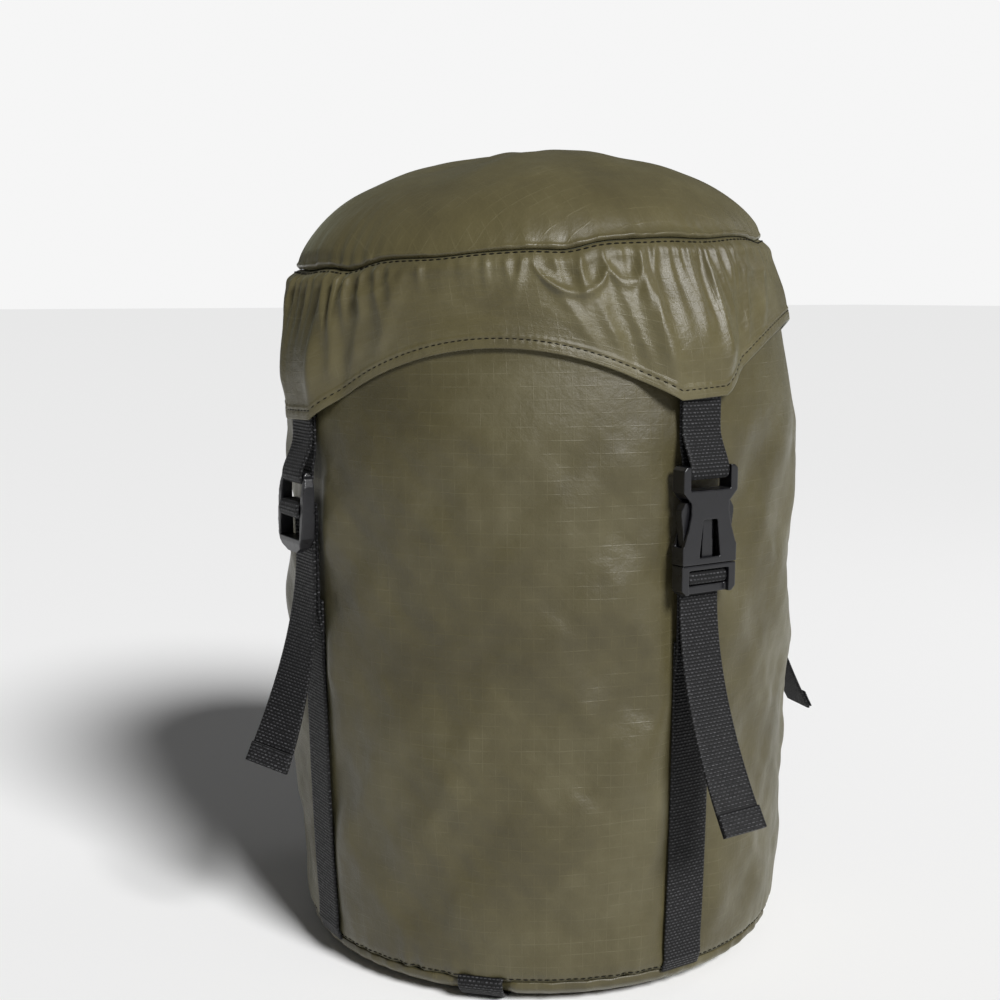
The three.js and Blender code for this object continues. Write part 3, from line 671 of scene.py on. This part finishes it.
def skirt_surface(angle, t):
    """The lid's skirt from top seam (0) to hem (1): gathered, pulled at the straps, and hemmed."""
    hem = hem_z(angle)
    seam = LID_SEAM_Z - GAP - tilt_drop(angle, LID_SEAM_R)
    height = seam - hem
    down = t * height
    up = height - down
    z = mix(seam, hem, t)
    level_hem = hem + tilt_drop(angle, WALL_R)
    swell = skirt_radius(t * (LID_SEAM_Z - level_hem)) - 0.9 * MM * t
    over_strap = np.maximum(swell, WALL_R + WALL_GAP + 2 * WEB + STRAP_EDGE_ROOM)
    near_strap = 1 - smooth(np.abs(from_strap(angle)), 0.95 * STRAP_HALF_ANGLE, 2.7 * STRAP_HALF_ANGLE)
    radius = mix(swell, over_strap, near_strap * (1 - smooth(up, 15 * MM, 52 * MM)))
    lumps = 0.8 * MM * SKIRT_BROAD(angle, z) * smooth(t, 0.05, 0.4) * (1 - 0.8 * smooth(t, 0.6, 1))
    out = (lumps + skirt_folds(angle, t, down)) * (1 - 0.75 * (1 - smooth(up, 2 * MM, 16 * MM)))
    groove = -0.7 * MM * bell(down, 1.8 * MM) + 0.5 * MM * bell(down - 5 * MM, 2.5 * MM)
    fine = 0.3 * MM * np.cos(112 * angle + 4 * np.sin(9 * angle)) * smooth(down, 0, 2 * MM)
    fine = fine * np.exp(-down / (7 * MM))
    z = z + seam_wave(angle) * (1 - t) ** 2
    points = cylinder(radius + out + groove + fine + hem_relief(angle, up), angle, z)
    shift = LID_SLOPE * (LID_SEAM_Z - LEAN_START_Z) * smooth(1 - t, 0, 1)
    points[..., 0] += LOW_SIDE[0] * shift
    points[..., 1] += LOW_SIDE[1] * shift
    return points


DOME_BROAD = ripples(53, 10, (1, 5), (0.09, 0.22))
DOME_FINE = ripples(59, 16, (3, 14), (0.03, 0.08))


def dome_surface(angle, share):
    """The lid's crown from the middle (0) to the top seam (1), puckered where it is sewn."""
    r = LID_SEAM_R * np.sin(share * QUARTER)
    edge = LID_SEAM_R * (1 - share)
    puckers = 0
    for gather in GATHERS:
        beside = np.abs(wrapped(angle - gather.angle)) * LID_SEAM_R
        puckers = puckers + gather.tall * bell(beside, 1.3 * gather.half)
    puckers = 0.62 * puckers * np.exp(-edge / (15 * MM)) * smooth(edge, 0.3 * MM, 4 * MM)
    lumps = (1.5 * DOME_BROAD(angle, r) + 0.3 * DOME_FINE(angle, r)) * MM
    lumps = lumps * smooth(r, 0, 40 * MM) * smooth(edge, 0, 14 * MM)
    groove = -0.4 * MM * bell(edge, 1.6 * MM) + 0.55 * MM * bell(edge - 3.5 * MM, 2.2 * MM)
    out = puckers + lumps + groove
    z = dome_z(r) + seam_wave(angle) * smooth(share, 0.6, 1)
    return lean(cylinder(r * (1 + out / LID_SEAM_R * share ** 3), angle, z + out * (1 - 0.6 * share ** 6)))


def base_profile(bend):
    """The base's outer curve, from its seam (0) to where it stands on the ground (a quarter turn)."""
    return BOTTOM_SEAM_R - BASE_TURN * (1 - np.cos(bend)), BASE_HEIGHT * (1 - np.sin(bend))


def base_surface(angle, share):
    """The round bottom from its seam (0) to the middle (1): it bellies out below the seam and stands flat."""
    turned = 0.3
    run = share / turned
    r, z = base_profile(np.minimum(run, 1) * QUARTER)
    r = np.where(share > turned, (BOTTOM_SEAM_R - BASE_TURN) * (1 - (share - turned) / (1 - turned)), r)
    puckers = (0.5 * np.cos(58 * angle + 2.2 * np.sin(5 * angle)) + 0.3 * np.cos(83 * angle)) * MM
    puckers = puckers * np.exp(-run * 3.2) * smooth(run, 0, 0.12)
    groove = -1.1 * MM * bell(run, 0.12)
    beside_handle = np.abs(r * np.sin(angle - HANDLE_ANGLE))
    pressed = 1 - smooth(beside_handle, 10.5 * MM, 15 * MM)
    lift = pressed * np.maximum(WEB + GAP - z, 0)
    pressed_in = 2.0 * MM * pressed * (z > 2 * MM)
    return cylinder(np.maximum(r + puckers + groove - pressed_in, 0), angle, z + lift)


def neck_surface(angle, share):
    """The bunched hem of the mouth, folded into narrow pleats round a small hole."""
    turn = share * TAU
    pleat = np.cos(22 * angle + 1.5 * np.sin(4 * angle))
    pleat_depth = 1.2 * MM * (0.4 + 0.6 * (np.cos(turn) > -0.3))
    r = NECK_R + 4.6 * MM * np.cos(turn) + pleat * pleat_depth
    z = MOUTH_Z + 3.2 * MM + 3.0 * MM * np.sin(turn) + 0.4 * MM * pleat
    return lean(cylinder(r, angle, z))


def load_surface(angle, share):
    """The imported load: the wall's shape, a little smaller and lumpier."""
    points = wall_surface(angle, 0.03 + 0.94 * share)
    squeeze = 0.965 - 0.012 * (1 + WALL_DENTS(angle, share * 0.4)) * smooth(share, 0, 0.2)
    points[..., 0] *= squeeze
    points[..., 1] *= squeeze
    points[..., 2] -= 2.5 * MM
    return points


# ---------------------------------------------------------------- stitches

def unit(vectors):
    return vectors / np.linalg.norm(vectors, axis=-1, keepdims=True)


def stitches(name, surface, angles, share, length, radius):
    """Short thread floats laid on a surface at even angles, each a small rounded bar along the seam."""
    here = surface(angles, share)
    along = unit(surface(angles + 1e-3, share) - here)
    up = surface(angles, share - 0.004) - here
    normal = unit(np.cross(along, up))
    outward = here.copy()
    outward[..., 2] = 0
    normal *= np.sign((normal * outward).sum(-1, keepdims=True))
    return thread_bars(name, here + normal * 0.1 * MM, along, normal, DARK_THREAD, length, radius)


def thread_bars(name, centres, along, normal, material, length, radius):
    """Rounded bars of thread, one at each centre, joined into one mesh. Each is five rings of six points."""
    rings, around = 5, 6
    ring_at = np.linspace(-1, 1, rings)[:, None, None]
    ring_r = np.sqrt(np.maximum(1 - ring_at ** 2, 0.06)) * radius
    spin = (np.arange(around) / around * TAU)[None, :, None]
    points, faces = [], []
    for centre, a, n, s in zip(centres, along, normal, np.cross(along, normal)):
        start = len(points) * rings * around
        bar = centre + ring_at * a * length / 2 + ring_r * (np.cos(spin) * s + 0.8 * np.sin(spin) * n)
        points.append(bar.reshape(-1, 3))
        for low in range(start, start + (rings - 1) * around, around):
            for k in range(around):
                after = (k + 1) % around
                faces.append((low + k, low + after, low + around + after, low + around + k))
        first = [start + k for k in range(around)][::-1]
        last = [start + (rings - 1) * around + k for k in range(around)]
        for ring in (first, last):
            faces.append(tuple(ring[:4]))
            faces.append((ring[0], *ring[3:]))
    faces = np.array(faces)
    return build(name, np.concatenate(points), faces, np.zeros((len(faces), 4, 2)), material)


# ---------------------------------------------------------------- webbing

def rounded(path, radius, passes=4):
    """A path with its corners cut to curves."""
    path = np.array(path, float)
    for _ in range(passes):
        a, b = path[:-1], path[1:]
        length = np.linalg.norm(b - a, axis=1, keepdims=True)
        share = np.minimum(0.25, radius / np.maximum(length, 1e-9))
        inner = np.stack([mix(a, b, share), mix(b, a, share)], 1).reshape(-1, 2)
        path = np.concatenate([path[:1], inner[1:-1], path[-1:]])
    return path


def resample(path, step):
    """The path with evenly spaced points about a step apart, and how far along it each lies."""
    path = np.array(path, float)
    run = run_along(path)
    count = max(int(round(run[-1] / step)), 4)
    at = np.linspace(0, run[-1], count + 1)
    return np.stack([np.interp(at, run, path[:, k]) for k in range(path.shape[1])], 1), at


def strip_frame(path, run, angle, drift=0.0, twist=0.0, fall=None, lift=0.0, centre_radius=WALL_R):
    """Where a strap's centre line runs in space, with its sideways and outward directions at each point.

    The drift and the twist grow from the top of the fall to its foot, or along the run if there is no fall.
    """
    tangent = np.gradient(path, axis=0)
    tangent /= np.linalg.norm(tangent, axis=1, keepdims=True)
    if fall is None:
        share = run / run[-1]
    else:
        share = np.clip((fall[0] - path[:, 1]) / (fall[0] - fall[1]), 0, 1)
    turn = (twist * share ** 1.5)[:, None]
    outward = np.array([math.sin(angle), -math.cos(angle), 0])
    sideways = np.array([math.cos(angle), math.sin(angle), 0])
    up = np.array([0, 0, 1.0])
    normal = -tangent[:, 1:] * outward + tangent[:, :1] * up
    centre = (centre_radius + path[:, :1]) * outward + path[:, 1:] * up
    centre = centre + (drift * share ** 2)[:, None] * sideways
    across = np.cos(turn) * sideways + np.sin(turn) * normal
    normal = np.cos(turn) * normal - np.sin(turn) * sideways
    return centre + lift * normal, across, normal


def strip(name, path, angle, **hang):
    """Ribbed webbing along a path of (outwards, up) points at one angle round the sack."""
    path, run = resample(path, RIB_PITCH / 4)
    centre, sideways, normal = strip_frame(path, run, angle, **hang)
    columns, edge = 14, 0.9 * MM
    u = np.sin(np.linspace(-QUARTER, QUARTER, columns))
    u = np.sign(u) * np.abs(u) ** 0.75 * WEB_WIDTH / 2
    inside = np.clip((np.abs(u) - (WEB_WIDTH / 2 - edge)) / edge, 0, 1)
    half = (WEB / 2 - 0.12 * MM) * np.sqrt(1 - 0.92 * inside ** 2)
    ribs = np.abs(np.sin(math.pi * run / RIB_PITCH))
    thick = half[None, :] + RIB_HEIGHT * ribs[:, None] * (1 - inside)[None, :]
    face = thick[..., None] * normal[:, None, :]
    flat = centre[:, None, :] + u[None, :, None] * sideways[:, None, :]
    ring = np.concatenate([flat + face, (flat - face)[:, ::-1]], 1)
    rows, around = ring.shape[:2]
    i, j = np.meshgrid(np.arange(rows - 1), np.arange(around), indexing="ij")
    i, j = i.ravel(), j.ravel()
    after = (j + 1) % around
    faces = np.stack([i * around + j, (i + 1) * around + j, (i + 1) * around + after, i * around + after], 1)
    u_ring = np.concatenate([u, u[::-1]])
    corners = ((j, i), (j, i + 1), (after, i + 1), (after, i))
    uvs = np.stack([np.stack([u_ring[column], run[row]], -1) for column, row in corners], 1)
    caps = []
    for start, turned in ((0, False), ((rows - 1) * around, True)):
        for k in range(columns - 1):
            quad = [start + k, start + k + 1, start + around - 2 - k, start + around - 1 - k]
            caps.append(quad[::-1] if turned else quad)
    faces = np.concatenate([faces, caps])
    uvs = np.concatenate([uvs, np.zeros((len(caps), 4, 2))])
    return build(name, ring.reshape(-1, 3), faces, uvs, WEBBING)


def tack_row(name, path, angle, share, **hang):
    """A row of stitches straight across a strap's outer face, at a share of its path."""
    path, run = resample(path, RIB_PITCH / 4)
    centre, across, normal = strip_frame(path, run, angle, **hang)
    k = int(share * (len(path) - 1))
    u = np.linspace(-0.42, 0.42, 7)[:, None] * WEB_WIDTH
    spots = centre[k] + u * across[k] + (WEB / 2 + 0.12 * MM) * normal[k]
    along = np.repeat(across[k : k + 1], len(u), 0)
    normals = np.repeat(normal[k : k + 1], len(u), 0)
    return thread_bars(name, spots, along, normals, BLACK_THREAD, 2.0 * MM, 0.3 * MM)


def wall_gap_at(z):
    """How far the wall's surface is from the straps' tangent plane at a height: zero, or below it."""
    side = WALL_LINE[:, 1] < HEM_POINT_Z
    return np.interp(z, WALL_LINE[side, 1], WALL_LINE[side, 0]) - WALL_R


# ---------------------------------------------------------------- making the sack

add_camera()

OLIVE = ripstop("ripstop_olive", (0.050, 0.042, 0.019), (0.070, 0.0595, 0.026), (0.125, 0.112, 0.062))
# The lid's copy of the olive nylon is painted lighter than the sack's: painted light, standing in for the lid
# being lit more.
OLIVE_LID_PAINTED_LIT = ripstop("ripstop_lid_painted_lit", (0.064, 0.054, 0.025), (0.088, 0.075, 0.034), (0.155, 0.139, 0.078), 0.35)
LINING = ripstop("ripstop_bunched", (0.05, 0.044, 0.023), (0.07, 0.062, 0.034), (0.12, 0.11, 0.07))
WEBBING = webbing_material()
PLASTIC = plastic_material("moulded_black", (0.0065, 0.0065, 0.008), 0.32)
DARK_THREAD = thread_material("dark_thread", (0.007, 0.006, 0.004))
BLACK_THREAD = thread_material("black_thread", (0.03, 0.03, 0.032))


def place(piece, body, node=None):
    """Let a piece ride a body, and stand for a CAD node where it has one."""
    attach(piece, body)
    if node:
        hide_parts(node)


def make_cloth():
    round_wall = (TAU * WALL_R, WALL_RUN[-1])
    wall = cloth("wall_cloth", wall_surface, 512, 240, round_wall, OLIVE, rising=True)
    base = cloth("base_cloth", base_surface, 384, 70, None, OLIVE)
    skirt = cloth("skirt_cloth", skirt_surface, 960, 96, (TAU * WALL_R, 75 * MM), OLIVE_LID_PAINTED_LIT, 0.8 * MM)
    dome = cloth("dome_cloth", dome_surface, 512, 110, None, OLIVE_LID_PAINTED_LIT)
    mouth = cloth("mouth_cloth", neck_surface, 352, 33, (TAU * MOUTH_R, 30 * MM), LINING, 0.3 * MM, True)
    load = cloth("packed_load", load_surface, 128, 90, round_wall, load_material(), rising=True)
    place(wall, "sack", "side_wall")
    place(base, "sack", "bottom_panel")
    place(skirt, "lid", "lid_skirt")
    place(dome, "lid", "lid_top")
    place(mouth, "sack", "mouth_channel")
    place(load, "sack", "stuffed_contents")


def make_seams():
    def ring_angles(radius, spacing):
        count = int(TAU * radius / spacing)
        return np.arange(count) / count * TAU

    lid_angles = ring_angles(LID_SEAM_R, STITCH_PITCH)
    lid_share = SEAM_STITCH / (LID_SEAM_Z - HEM_POINT_Z)
    top = stitches("top_seam_stitches", skirt_surface, lid_angles, lid_share, 2.3 * MM, 0.42 * MM)
    hem_angles = ring_angles(WALL_R, 2.9 * MM)
    heights = LID_SEAM_Z - tilt_drop(hem_angles, LID_SEAM_R) - hem_z(hem_angles)
    hem = stitches("hem_stitches", skirt_surface, hem_angles, 1 - HEM_STITCH / heights, 2.0 * MM, 0.24 * MM)
    wall_angles = ring_angles(BOTTOM_SEAM_R, STITCH_PITCH)
    wall_share = SEAM_STITCH / WALL_RUN[-1]
    bottom = stitches("bottom_seam_stitches", wall_surface, wall_angles, wall_share, 2.2 * MM, 0.35 * MM)
    place(top, "lid")
    place(hem, "lid")
    place(bottom, "sack")


BEHIND = WALL_GAP + WEB / 2
ROOM = GAP + WEB / 2


def make_loop(strap, size, hem, top):
    """The upper webbing: down from the hem, round the hardware's upper bar, and back up over itself."""
    high = hem + SEWN_OVERLAP
    below_bar = top - size.bar_low - ROOM
    behind_bar = size.bar_out - size.bar_half - ROOM
    over_bar = size.bar_out + size.bar_half + ROOM
    over_itself = BEHIND + WEB + 0.1 * MM
    path = rounded([
        (BEHIND, high), (BEHIND, top + 9 * MM), (behind_bar, top + 1 * MM), (behind_bar, below_bar),
        (over_bar, below_bar), (over_bar, top + 0.5 * MM), (over_itself, top + 12 * MM), (over_itself, high),
    ], 2.2 * MM)
    name = strap.name
    place(strip(f"{name}_upper_webbing", path, strap.angle), "lid", f"{name}_upper_loop")


def make_wrap(strap, size, top, exit_z):
    """The webbing's turn through the hardware: up behind it, over the rail, and out again below."""
    foot = exit_z - WRAP_LENGTH
    above = top - size.rail_top + ROOM
    below = top - size.rail_top - size.rail - ROOM
    front = size.rail_front + ROOM
    tail_out = WALL_GAP + WEB + ROOM
    clear = BEHIND + 0.25 * MM
    path = rounded([
        (BEHIND - 1.1 * MM, foot), (clear, foot + WRAP_TAPER), (clear, above - 3 * MM),
        (clear + 0.05 * MM, above), (front, above), (front, below),
        (tail_out, below), (tail_out, exit_z + 1.0 * MM),
    ], 1.3 * MM)
    turn = strip(f"{strap.name}_wrapped_webbing", path, strap.angle)
    if strap.hardware == "buckle":
        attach(turn, f"{strap.name}_insert")
    else:
        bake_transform(turn)
    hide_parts(f"{strap.name}_strap_wrap")


def make_lower(strap, exit_z):
    """The lower webbing, from the bottom seam to under the foot of the turn, pressed into the wall."""
    foot = exit_z - WRAP_LENGTH
    heights = np.linspace(BASE_TOP + 1 * MM, foot + WRAP_OVERLAP, 40)
    bite = LOWER_BITE * smooth(heights, BASE_TOP, BASE_TOP + 14 * MM)
    path = [(float(wall_gap_at(z)) + BEHIND - deep, z) for z, deep in zip(heights, bite)]
    path[0] = (path[0][0] - 1.4 * MM, path[0][1] - 1.5 * MM)
    lower = strip(f"{strap.name}_lower_webbing", path[::-1], strap.angle)
    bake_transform(lower)
    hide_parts(f"{strap.name}_lower_strap")


def make_tail(strap, exit_z):
    """The loose end: it hangs out from the hardware, and its end is folded over and sewn with two rows."""
    out = WALL_GAP + WEB + ROOM
    share = np.linspace(0, 1, 60)
    falling = np.stack([out + strap.reach * share ** strap.bend, exit_z - strap.drop * share], 1)
    path = np.concatenate([[[out, exit_z + 1.6 * MM]], falling])
    folded = falling[falling[:, 1] < exit_z - strap.drop + TAIL_FOLD]
    hang = {"drift": strap.drift, "twist": strap.twist, "fall": (exit_z, exit_z - strap.drop)}
    on_top = {"lift": WEB + 0.12 * MM, **hang}
    body = f"{strap.name}_tail"
    place(strip(f"{body}_webbing", path, strap.angle, **hang), body, body)
    place(strip(f"{body}_fold", folded, strap.angle, **on_top), body)
    for k, row in enumerate((0.12, 0.3)):
        place(tack_row(f"{body}_stitches_{k}", folded, strap.angle, row, **on_top), body)


def make_strap(strap):
    size = HARDWARE[strap.hardware]
    hem = float(hem_z(np.array(strap.angle)))
    top = hem - size.below_hem
    exit_z = top - size.length - 1.5 * MM
    make_loop(strap, size, hem, top)
    make_wrap(strap, size, top, exit_z)
    make_lower(strap, exit_z)
    make_tail(strap, exit_z)


def make_handle():
    """The grab handle: webbing from one side of the bottom seam, round under the base, to the other side."""
    lowest = WEB / 2 + 0.02 * MM
    half = []
    for bend in np.linspace(0, QUARTER, 14):
        normal = unit(np.array([BASE_HEIGHT * math.cos(bend), -BASE_TURN * math.sin(bend)]))
        r, z = base_profile(bend) + normal * ROOM
        half.append((r, max(z, lowest)))
    path = [(half[0][0] - 1.2 * MM, half[0][1] + 2.0 * MM)] + half
    path += [(-r, z) for r, z in path[::-1]]
    place(strip("handle_webbing", path, HANDLE_ANGLE, centre_radius=0.0), "sack", "bottom_handle")


def finish_hardware():
    """The moulded parts and the eyelet keep their CAD shape, with small rounded edges and a real finish."""
    for node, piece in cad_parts.items():
        moulded = any(word in node for word in ("buckle", "prong", "ladder"))
        if moulded or node == "mouth_eyelet":
            grain = piece.modifiers.new("even_mesh", "REMESH")
            grain.mode = "VOXEL"
            grain.voxel_size = (0.3 if moulded else 0.2) * MM
            soften = piece.modifiers.new("rounded_edges", "SMOOTH")
            soften.factor = 0.5
            soften.iterations = 5
            piece.data.materials.clear()
            piece.data.materials.append(PLASTIC if moulded else eyelet_material())
            piece.data.polygons.foreach_set("use_smooth", np.ones(len(piece.data.polygons), bool))


make_cloth()
make_seams()
for strap in STRAPS:
    make_strap(strap)
make_handle()
finish_hardware()
add_studio()
